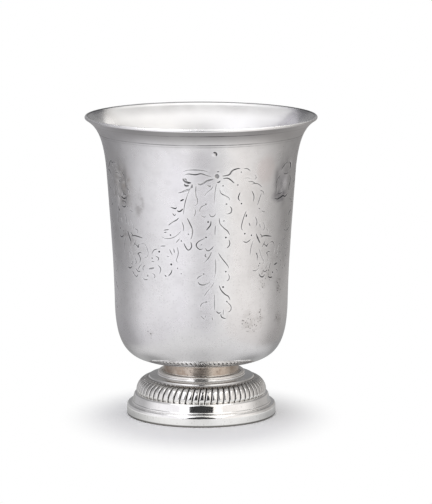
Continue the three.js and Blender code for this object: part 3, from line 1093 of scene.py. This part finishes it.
def make_bowl(material):
    section = BowlSection()
    ring_azimuths = -math.pi + 2 * math.pi * np.arange(COLUMNS) / COLUMNS
    middle = SEAT_RADIUS * 0.9
    inner_start = section.lip_end + LIP_EDGE_WIDTH
    inner_end = section.length[-1] - middle
    lower_rows = plain_rows(np.linspace(middle, section.at_level(STRIP_LOW), 34)[:-1])
    upper_rows = rows_under_lip(section, ring_azimuths)
    upper_rows += plain_rows(np.linspace(section.lip_start, section.lip_end, 12)[1:])
    upper_rows += plain_rows((section.lip_end + 0.9 * LIP_EDGE_WIDTH,))
    upper_rows += plain_rows(np.linspace(inner_start, inner_end, 70))

    places, depths, painted_glints, faces = closed_wall(*engraved_wall())

    def edge_of_strip(level):
        spots = np.nonzero(np.abs(places[:, 1] - level) < 1e-3)[0]
        return sorted(spots, key=lambda index: places[index, 0])

    rows = lower_rows + upper_rows
    starts = range(len(places), len(places) + COLUMNS * len(rows), COLUMNS)
    rings = [range(start, start + COLUMNS) for start in starts]
    below_strip = [*rings[:len(lower_rows)], edge_of_strip(STRIP_LOW)]
    above_strip = [edge_of_strip(STRIP_HIGH), *rings[len(lower_rows):]]
    for chain in (below_strip, above_strip):
        for below, above in zip(chain[:-1], chain[1:]):
            for column in range(COLUMNS):
                after = (column + 1) % COLUMNS
                faces.append((below[column], below[after], above[after], above[column]))
    faces.append(tuple(below_strip[0])[::-1])
    faces.append(tuple(above_strip[-1]))

    lengths = np.concatenate((
        section.at_level(places[:, 1]), np.repeat([row[0] for row in rows], COLUMNS)
    ))
    azimuths = np.concatenate((places[:, 0] / ARC_RADIUS, np.tile(ring_azimuths, len(rows))))
    depths = np.concatenate((depths, *(np.zeros(COLUMNS) + row[1] for row in rows)))
    painted_glints = np.concatenate((painted_glints, np.zeros(COLUMNS * len(rows))))
    radius, level, normal_radius, normal_level = section.place(lengths)
    inside = (lengths > section.lip_end).astype(float)
    # The edge between the lip and the inside gets a painted dark reflection, except at the front
    on_edge = np.abs(lengths - section.lip_end) < LIP_EDGE_WIDTH
    lip_edge_reflection = on_edge * np.clip(0.6 - 2 * np.cos(azimuths), 0, 1)
    push = wall_unevenness(azimuths, level) * np.where(inside > 0, -1, 1)

    def points_at(stand):
        out = radius + normal_radius * stand
        up = level + normal_level * stand
        return np.column_stack((out * np.sin(azimuths), -out * np.cos(azimuths), up)) * MM

    # Faces of the cuts keep their own flat shading, and the wall is smooth up to their edges
    mesh = bpy.data.meshes.new("bowl_shell")
    mesh.from_pydata(points_at(push).tolist(), [], faces)
    mesh.shade_smooth()
    plain_normals = np.zeros(len(mesh.vertices) * 3)
    mesh.vertex_normals.foreach_get("vector", plain_normals)
    plain_normals = plain_normals.reshape(-1, 3)
    mesh.vertices.foreach_set("co", points_at(push - depths).ravel())
    store(mesh, "engraved", depths / STROKE_DEPTH)
    store(mesh, "painted_glint", painted_glints)
    store(mesh, "inside", inside)
    store(mesh, "lip edge", lip_edge_reflection)
    mesh.update()
    normals = []
    for face in mesh.polygons:
        cut_face = any(depths[corner] for corner in face.vertices)
        for corner in face.vertices:
            normals.append(face.normal.copy() if cut_face else Vector(plain_normals[corner]))
    mesh.normals_split_custom_set(normals)
    mesh.materials.append(material)
    return placed("bowl_shell", mesh)


# Silver

def tarnish_group():
    """Cloudy film and small pits, in Object coordinates."""
    tree = bpy.data.node_groups.new("tarnish", "ShaderNodeTree")
    add_socket(tree, "INPUT", "Place", "NodeSocketVector")
    add_socket(tree, "INPUT", "Cloud Scale", "NodeSocketFloat", 60.0)
    add_socket(tree, "INPUT", "Pit Scale", "NodeSocketFloat", 700.0)
    add_socket(tree, "OUTPUT", "Film", "NodeSocketFloat")
    add_socket(tree, "OUTPUT", "Pits", "NodeSocketFloat")
    given = outputs(tree, "NodeGroupInput")
    cloud = output(tree, "ShaderNodeTexNoise", {
        "Vector": given["Place"],
        "Scale": given["Cloud Scale"],
        "Detail": 5.0,
        "Roughness": 0.62,
    }, "Fac")
    cells = outputs(tree, "ShaderNodeTexVoronoi", {
        "Vector": given["Place"],
        "Scale": given["Pit Scale"],
        "Randomness": 1.0,
    })
    chosen = output(tree, "ShaderNodeSeparateColor", {0: cells["Color"]}).math("GREATER_THAN", 0.55)
    add_node(tree, "NodeGroupOutput", {
        "Film": cloud.ramp(0.42, 0.72),
        "Pits": cells["Distance"].ramp(0.36, 0.16) * chosen,
    })
    return tree


def polish_group():
    """Fine lines round the axis, left by turning and polishing, as a height and a change of gloss."""
    tree = bpy.data.node_groups.new("polish lines", "ShaderNodeTree")
    add_socket(tree, "INPUT", "Place", "NodeSocketVector")
    add_socket(tree, "INPUT", "Line Scale", "NodeSocketFloat", 2000.0)
    add_socket(tree, "OUTPUT", "Height", "NodeSocketFloat")
    add_socket(tree, "OUTPUT", "Gloss", "NodeSocketFloat")
    given = outputs(tree, "NodeGroupInput")
    part = given["Place"].parts()
    out = (part["X"] * part["X"] + part["Y"] * part["Y"]).math("SQRT")
    line = output(tree, "ShaderNodeCombineXYZ", {
        "X": part["X"].math("ARCTAN2", part["Y"]) * 3.0,
        "Y": part["Z"] * given["Line Scale"],
        "Z": out * given["Line Scale"],
    })
    add_node(tree, "NodeGroupOutput", {
        "Height": output(tree, "ShaderNodeTexNoise", {
            "Vector": line, "Scale": 1.0, "Detail": 2.0,
        }, "Fac"),
        "Gloss": output(tree, "ShaderNodeTexNoise", {
            "Vector": given["Place"], "Scale": 180.0, "Detail": 4.0,
        }, "Fac"),
    })
    return tree


class Silver:
    """A silver material in the making, with its place on the piece: the level above the table, and how
    far behind the axis, both in millimetres."""

    def __init__(self, name):
        self.material = bpy.data.materials.new(name)
        self.material.use_nodes = True
        self.tree = self.material.node_tree
        self.shader = self.tree.nodes["Principled BSDF"]
        self.shader.inputs["Metallic"].default_value = 1.0
        self.place = output(self.tree, "ShaderNodeTexCoord", name="Object")
        part = self.place.parts()
        self.level = part["Z"] / MM
        self.behind = part["Y"] / MM

    def effect(self, group, sizes):
        return outputs(self.tree, "ShaderNodeGroup", {"Place": self.place, **sizes}, node_tree=group)

    def tarnish(self, clouds, pits):
        return self.effect(TARNISH, {"Cloud Scale": clouds, "Pit Scale": pits})

    def polish(self, lines):
        return self.effect(POLISH, {"Line Scale": lines})

    def attribute(self, name):
        return output(self.tree, "ShaderNodeAttribute", name="Fac", attribute_name=name)

    def patch(self, degrees, level, half_width, half_height):
        """A soft-edged mask round a place on the wall, so many degrees from the front."""
        azimuth = math.radians(degrees)
        place = Vector((math.sin(azimuth), -math.cos(azimuth), 0)) * FLARE_RADIUS * MM
        place.z = level * MM
        squeeze = (1 / (half_width * MM), 1 / (half_width * MM), 1 / (half_height * MM))
        away = self.place.vector_math("SUBTRACT", place).vector_math("MULTIPLY", squeeze)
        return away.length().ramp(1.25, 0.5)

    def finish(self, colour, roughness, height, relief):
        bump = output(self.tree, "ShaderNodeBump", {
            "Height": height,
            "Strength": 0.35,
            "Distance": relief * MM,
        })
        feed(self.shader, {"Base Color": colour, "Roughness": roughness, "Normal": bump})
        return self.material


def foot_silver():
    clean = (0.96, 0.955, 0.945)
    filmed = (0.78, 0.75, 0.72)
    pitted = (0.20, 0.18, 0.17)
    dark_brown_grey = (0.16, 0.15, 0.14)
    silver = Silver("foot silver")
    tarnish = silver.tarnish(110.0, 900.0)
    lines = silver.polish(2500.0)
    colour = (tarnish["Film"] * 0.4).mix(clean, filmed)
    colour = (tarnish["Pits"] * 0.14).mix(colour, pitted)
    # A painted contact shadow along the very foot, and a darker band on the slope of the cap
    ledge = CAP_LEVEL + CAP_EDGE
    cap_top = ledge + CAP_RISE
    on_cap = silver.level.ramp(ledge - 0.06, ledge - 0.01, 0.0, 0.36)
    on_cap = on_cap * silver.level.ramp(cap_top + 0.08, cap_top)
    foot_shadow_and_cap_dark = silver.level.ramp(0.95, 0.5, 0.0, 0.95).largest(on_cap)
    colour = foot_shadow_and_cap_dark.mix(colour, dark_brown_grey)
    roughness = lines["Gloss"].ramp(0.3, 0.75, 0.07, 0.16)
    return silver.finish(colour, roughness, lines["Height"], 0.02)


def gadroon_silver():
    # The lobes' silver is a painted shade darker than the foot's
    clean = (0.86, 0.85, 0.83)
    filmed = (0.64, 0.61, 0.58)
    black = (0.05, 0.045, 0.045)
    dark_reflection = (0.17, 0.155, 0.145)
    silver = Silver("gadroon silver")
    tarnish = silver.tarnish(160.0, 1100.0)
    lines = silver.polish(1800.0)
    colour = (tarnish["Film"] * 0.4).mix(clean, filmed)
    cut = silver.attribute("recess").ramp(0.06 * LOBE_DEPTH * MM, 0.36 * LOBE_DEPTH * MM)
    colour = cut.mix(colour, black)
    # Painted dark reflection on the upper ends of the lobes, which mirror the shaded underside of the bowl
    lobe_top_reflection = silver.level.ramp(CAP_LEVEL - 2.2, CAP_LEVEL - 0.6, 0.0, 0.5)
    colour = lobe_top_reflection.mix(colour, dark_reflection)
    roughness = cut * 0.4 + lines["Gloss"].ramp(0.3, 0.75, 0.08, 0.18)
    return silver.finish(colour, roughness, lines["Height"], 0.02)


def neck_silver():
    brown = (0.59, 0.515, 0.445)
    dark_brown = (0.36, 0.28, 0.22)
    pitted = (0.15, 0.12, 0.10)
    clean_wire = (0.96, 0.94, 0.91)
    silver = Silver("neck silver")
    tarnish = silver.tarnish(150.0, 800.0)
    lines = silver.polish(2500.0)
    colour = tarnish["Film"].mix(brown, dark_brown)
    on_wire = silver.level.ramp(BEAD_TOP + 0.3, BEAD_TOP - 0.2, 0.0, 0.85)
    colour = on_wire.mix(colour, clean_wire)
    colour = (tarnish["Pits"] * 0.4).mix(colour, pitted)
    roughness = lines["Gloss"].ramp(0.3, 0.75, 0.17, 0.31)
    return silver.finish(colour, roughness, lines["Height"], 0.03)


# Places on the bowl's wall: degrees from the front, level, half width, half height
HIGH_FRONT_SHADE = (5, 102.0, 8.5, 8.0)
LEFT_STAIN_AND_SHADE = (-56, 91.0, 7.0, 9.5)
RIGHT_DENT = (59, 92.0, 6.6, 9.0)
RIGHT_HOLLOW = (60, 92.2, 3.6, 3.6)
RIGHT_FOLD = (57, 87.2, 5.6, 2.8)
WARM_FILM = (42, 98.0, 5.0, 6.0)
SMEARS = ((-41, 85.0, 2.6, 6.5), (-20, 94.0, 1.6, 1.2), (-52, 71.0, 5.0, 4.0))
PITTED_PLACES = (
    (36, 40.5, 7.0, 5.5),
    (45, 56.0, 5.0, 5.0),
    (61, 52.0, 4.2, 4.2),
    (62, 40.0, 4.5, 4.5),
    (-36, 35.5, 4.0, 4.0),
)
PUNCH_MARK = (MARK_DEGREES, MARK_LEVEL, 1.6, 1.6)

# Levels between which the bowl's finish changes
LIP_ROUND = (113.75, 114.1)
UNDER_LIP = (105.6, 112.2)
INNER_FLARE = (109.5, 114.0)
THIN_PITTING = (95, 60)
BELLY_SHADE = (52, 28)
BELLY_FOOT = (23.5, 26.5)
SATIN_START = (24.5, 28)

# Places from front to back between which it changes
DARK_LIP_SHADE = (-40, -15)
LIP_HIGHLIGHT = (2, -8)
SATIN_BACK = (18, 30)


def bowl_silver():
    grey = (0.52, 0.51, 0.51)
    bright = (0.99, 0.99, 1.0)
    silver = Silver("bowl silver")
    tarnish = silver.tarnish(55.0, 900.0)
    fine = silver.tarnish(260.0, 1300.0)
    lines = silver.polish(900.0)
    colour = (tarnish["Film"] * 0.30).mix((0.86, 0.855, 0.86), (0.66, 0.645, 0.63))
    colour = (fine["Film"] * 0.16).mix(colour, grey)
    # Painted grey shade under the lip, darker at the front, high on the front and on the belly
    lip = silver.level.ramp(*LIP_ROUND)
    under_lip_shade = silver.level.ramp(*UNDER_LIP, 0.0, 0.92) * (1.0 - lip)
    lip_shade = silver.behind.ramp(*DARK_LIP_SHADE).mix((0.36, 0.35, 0.35), (0.64, 0.63, 0.63))
    colour = under_lip_shade.mix(colour, lip_shade)
    colour = (silver.patch(*HIGH_FRONT_SHADE) * 0.4).mix(colour, grey)
    belly = silver.level.ramp(*BELLY_SHADE, 0.0, 0.65) * silver.level.ramp(*BELLY_FOOT)
    colour = belly.mix(colour, (0.56, 0.55, 0.56))
    # Grey-brown tarnish over the left dent, spread wider as painted shade beside it, and a painted dark
    # reflection round the hollow of the right dent, with a painted lilac reflection in the hollow
    stain_and_shade = silver.patch(*LEFT_STAIN_AND_SHADE) * fine["Film"].ramp(0.1, 0.9, 0.3, 0.65)
    colour = stain_and_shade.mix(colour, (0.44, 0.405, 0.36))
    hollow_reflection = silver.patch(*RIGHT_HOLLOW)
    edge = (silver.patch(*RIGHT_DENT) * 0.45).largest(silver.patch(*RIGHT_FOLD))
    edge = edge * (1.0 - hollow_reflection) * fine["Film"].ramp(0.0, 0.7, 0.5, 0.85)
    colour = edge.mix(colour, (0.27, 0.26, 0.29))
    colour = (hollow_reflection * 0.5).mix(colour, (0.60, 0.59, 0.63))
    # Grey smears on the left, and a warm film between the garland and the right dent
    for place in SMEARS:
        smear = silver.patch(*place) * fine["Film"].ramp(0.0, 0.8, 0.1, 0.5)
        colour = smear.mix(colour, (0.40, 0.38, 0.37))
    colour = (silver.patch(*WARM_FILM) * 0.3).mix(colour, (0.80, 0.68, 0.66))
    # Pitted places low on the wall, most of them on the right, and thinly scattered pits
    pitted = silver.patch(*PITTED_PLACES[0])
    for place in PITTED_PLACES[1:]:
        pitted = pitted.largest(silver.patch(*place))
    pitted = pitted * fine["Film"].ramp(0.0, 0.5, 0.35, 1.0)
    pitted = pitted.largest(silver.level.ramp(*THIN_PITTING, 0.05, 0.11))
    colour = (pitted * 0.35).mix(colour, (0.36, 0.34, 0.32))
    pits = pitted.ramp(0.0, 0.5) * tarnish["Pits"].largest(fine["Pits"])
    colour = (pits * 0.85).mix(colour, (0.12, 0.11, 0.11))
    # Dark cuts with painted glints along their edges, and a painted highlight on the dot of the punch mark
    painted_glint = silver.attribute("painted_glint") * 0.3
    colour = painted_glint.mix(colour, bright)
    groove = silver.attribute("engraved").ramp(0.0, 0.55) * lines["Gloss"].ramp(0.35, 0.6, 0.5, 1.0)
    colour = groove.mix(colour, (0.055, 0.055, 0.06))
    mark = silver.patch(*PUNCH_MARK) * painted_glint
    colour = (mark * 3.0).math("MINIMUM", 1.0).mix(colour, bright)
    # Painted highlight on the lip at the front, and on the inside a painted sheen that turns to painted
    # grey shade up its flare
    front_lip_highlight = lip * silver.behind.ramp(*LIP_HIGHLIGHT, 0.0, 0.6)
    colour = front_lip_highlight.mix(colour, (0.97, 0.965, 0.96))
    inside = silver.attribute("inside")
    inner_painted_tone = silver.level.ramp(*INNER_FLARE).mix((0.98, 0.975, 0.97), (0.74, 0.735, 0.73))
    colour = inside.mix(colour, inner_painted_tone)
    # Painted dark reflection along the edge between the lip and the inside
    colour = silver.attribute("lip edge").mix(colour, (0.22, 0.22, 0.22))
    # The outside is satin, bright under the belly, and duller in the cuts and under the lip
    roughness = lines["Gloss"].ramp(0.25, 0.75, 0.25, 0.33) * silver.level.ramp(*SATIN_START, 0.15, 1.0)
    roughness = groove * 0.35 + roughness
    roughness = under_lip_shade * 0.2 + roughness
    # The inside is polished bright at the front and the sides, and satin at the back
    satin = silver.behind.ramp(*SATIN_BACK, 0.5, 1.7)
    roughness = roughness * (inside * (satin - 1.0) + 1.0)
    return silver.finish(colour, roughness, lines["Height"], 0.03)


# Stage, light and camera, in metres

def bare_material(name):
    material = bpy.data.materials.new(name)
    material.use_nodes = True
    material.node_tree.nodes.clear()
    return material


def stage_sheet(name, corners, material):
    """A flat sheet of the stage, from its four corners."""
    mesh = bpy.data.meshes.new(name)
    mesh.from_pydata(corners, [], [(0, 1, 2, 3)])
    mesh.materials.append(material)
    sheet = placed(name, mesh)
    return sheet


def make_floor():
    material = bare_material("pale paper")
    tree = material.node_tree
    path = outputs(tree, "ShaderNodeLightPath")
    mirrored = path["Is Glossy Ray"]
    seen = path["Is Camera Ray"].largest(mirrored).largest(path["Is Transmission Ray"])
    # The paper shows the soft shadow round the foot, and is plain white further out
    shadow_start = 0.028
    shadow_end = 0.055
    shadow_squeeze = 0.8
    shadow_shift = 0.010 * shadow_squeeze
    place = output(tree, "ShaderNodeTexCoord", name="Object")
    place = place.vector_math("MULTIPLY_ADD", (1.0, shadow_squeeze, 1.0), (0.0, shadow_shift, 0.0))
    fade = place.length().ramp(shadow_start, shadow_end)
    # As the silver mirrors it, the far paper glows with painted tones: a painted grey shade in the middle
    # of the front, warmer at the right, cooler at the left, and a painted dark shade behind
    part = place.parts()
    front = (-part["Y"]).largest(0.001)
    aside = part["X"] / front
    beyond = front.ramp(0.06, 0.12) * mirrored
    middle = abs(aside - 0.1).ramp(0.5, 0.12) * beyond
    right = aside.ramp(0.7, 1.2) * beyond
    left = aside.ramp(-0.1, -0.5) * beyond
    behind = part["Y"].ramp(-0.015, 0.045) * mirrored
    tone = middle.mix((1.0, 1.0, 1.0), (0.77, 0.76, 0.79))
    tone = right.mix(tone, (0.92, 0.88, 0.85))
    tone = left.mix(tone, (1.0, 0.985, 1.03))
    tone = behind.mix(tone, (0.38, 0.38, 0.38))
    far_paper = output(tree, "ShaderNodeEmission", {"Color": tone, "Strength": 1.0})
    # The near paper, as it is mirrored, glows with a painted shadow: light in front of the foot, less so
    # on the middle line, and darker beside and behind it
    front_edge = -0.019
    side_edge = 0.005
    line_edge = 0.014
    line_core = 0.003
    light = part["Y"].ramp(front_edge, side_edge, 0.88, 0.36)
    light = light - abs(part["X"]).ramp(line_edge, line_core, 0.0, 0.12)
    near_paper = output(tree, "ShaderNodeMixShader", {
        0: mirrored,
        1: output(tree, "ShaderNodeBsdfDiffuse", {"Color": (0.81, 0.81, 0.82, 1)}),
        2: output(tree, "ShaderNodeEmission", {"Color": (1.0, 1.0, 1.0, 1), "Strength": light}),
    })
    paper = output(tree, "ShaderNodeMixShader", {0: fade * seen, 1: near_paper, 2: far_paper})
    add_node(tree, "ShaderNodeOutputMaterial", {"Surface": paper})
    size = 4.0
    corners = [(-size, -size, 0), (size, -size, 0), (size, size, 0), (-size, size, 0)]
    stage_sheet("floor", corners, material)


def make_softbox(name, azimuth, elevation, distance, size, brightness, colour):
    """A soft square lamp that faces the beaker's middle. A brightness of 1 looks white."""
    target = Vector((0, 0, 0.06))
    turn = math.radians(azimuth)
    rise = math.radians(elevation)
    way = Vector((math.sin(turn) * math.cos(rise), -math.cos(turn) * math.cos(rise), math.sin(rise)))
    lamp = bpy.data.lights.new(name, "AREA")
    lamp.shape = "RECTANGLE"
    lamp.size = size
    lamp.size_y = size
    lamp.energy = brightness * math.pi * size * size
    lamp.color = colour
    holder = placed(name, lamp)
    holder.location = target + way * distance
    holder.rotation_euler = (-way).to_track_quat("-Z", "Y").to_euler()


def make_card(name, corners, low_shade, high_shade, colour):
    """A card that is seen only in the silver, to shade the edges of the polished shapes or to light the
    lip. A shade is where along Y the card stops being white, where it is darkest, and how dark: one for
    the card's foot, which the beaker's foot mirrors, and one for the rest."""
    white = 0.97
    foot_top = 0.028
    rest_start = 0.05
    material = bare_material(name)
    tree = material.node_tree
    part = output(tree, "ShaderNodeTexCoord", name="Object").parts()
    low, high = (
        part["Y"].ramp(start, end, white, darkest) for start, end, darkest in (low_shade, high_shade)
    )
    shade = (high - low) * part["Z"].ramp(foot_top, rest_start) + low
    grey = output(tree, "ShaderNodeEmission", {"Color": (*colour, 1), "Strength": shade})
    add_node(tree, "ShaderNodeOutputMaterial", {"Surface": grey})
    card = stage_sheet(name, corners, material)
    card.visible_camera = False
    card.visible_diffuse = False
    card.visible_shadow = False


def make_cards():
    # Two leaning cards beside the beaker
    lift = 0.0005
    height = 0.18
    near = -0.11
    far = 0.50
    foot_shade = (-0.038, 0.010, 0.45)
    upper_shade = (-0.10, 0.04, 0.28)
    for name, side, colour in (("left card", -1, (0.98, 0.97, 1.0)), ("right card", 1, (1.0, 0.97, 0.95))):
        make_card(name, [
            (side * 0.055, near, lift),
            (side * 0.12, far, lift),
            (side * 0.19, far, height),
            (side * 0.13, near, height),
        ], foot_shade, upper_shade, colour)
    # Plain walls further out, grey at the left and pale at the right, which the inside of the lip mirrors
    wall = 0.6
    wall_near = -0.1
    wall_far = 0.86
    wall_foot = 0.30
    wall_top = 1.1
    unshaded = (wall_far + 0.1, wall_far + 0.2, 0.9)
    grey = (0.53, 0.52, 0.56)
    pale = (0.90, 0.88, 0.86)
    for name, side, colour in (("left wall", -1, grey), ("right wall", 1, pale)):
        make_card(name, [
            (side * wall, wall_near, wall_foot),
            (side * wall, wall_far, wall_foot),
            (side * wall, wall_far, wall_top),
            (side * wall, wall_near, wall_top),
        ], unshaded, unshaded, colour)
    # A dark card behind
    back = 0.60
    back_half = 0.5
    back_top = 0.3
    dark = (0.0, 0.1, 0.30)
    make_card("back card", [
        (-back_half, back, lift),
        (back_half, back, lift),
        (back_half, back, back_top),
        (-back_half, back, back_top),
    ], dark, dark, (0.98, 0.98, 1.0))


def make_world():
    """A dim grey room, darker in the sector behind the camera."""
    world = bpy.data.worlds.new("studio")
    bpy.context.scene.world = world
    world.use_nodes = True
    tree = world.node_tree
    way = output(tree, "ShaderNodeTexCoord", name="Generated").parts()
    aside = abs(way["X"]) / (-way["Y"]).largest(0.001)
    feed(tree.nodes["Background"], {
        "Strength": aside.ramp(0.34, 0.5, 0.04, 0.2),
        "Color": (0.95, 0.95, 1.0, 1),
    })


def make_camera():
    """The photograph's view: 432 by 504 pixels, with the beaker's axis a little left of the middle."""
    frame_height = 504
    focal_pixels = 3319
    axis_offset_pixels = 15.0
    pitch = math.radians(9.34)
    distance = 1.25
    height = 0.268
    camera = bpy.data.cameras.new("camera")
    camera.sensor_fit = "VERTICAL"
    camera.sensor_height = 24.0
    camera.lens = focal_pixels / frame_height * camera.sensor_height
    camera.clip_end = 20
    holder = placed("camera", camera)
    holder.location = (0, -distance, height)
    holder.rotation_euler = (math.pi / 2 - pitch, 0, -math.atan(axis_offset_pixels / focal_pixels))
    bpy.context.scene.camera = holder


RING_TREE = turned_ring_tree()
TARNISH = tarnish_group()
POLISH = polish_group()
SILVERS = {
    "bowl_silver": bowl_silver(),
    "foot_silver": foot_silver(),
    "gadroon_silver": gadroon_silver(),
    "neck_silver": neck_silver(),
}
for make_piece, node, slot in (
    (make_base_band, "base_band", "foot_silver"),
    (make_step_moulding, "step_moulding", "foot_silver"),
    (make_gadroon_border, "gadroon_band", "gadroon_silver"),
    (make_foot_cap, "foot_cap", "foot_silver"),
    (make_neck_bead, "neck_bead", "neck_silver"),
    (make_neck, "neck", "neck_silver"),
    (make_bowl, "bowl", "bowl_silver"),
):
    finish_piece(make_piece(SILVERS[slot]), node)

make_floor()
make_world()
make_softbox("left softbox", -50, 33, 1.1, 1.25, 1.25, (0.97, 0.97, 1.0))
make_softbox("right softbox", 50, 33, 1.1, 1.25, 1.05, (1.0, 0.98, 0.95))
make_softbox("top softbox", 180, 80, 1.2, 1.8, 1.4, (1.0, 1.0, 1.0))
make_cards()
make_camera()
bpy.context.scene.view_settings.view_transform = "Standard"
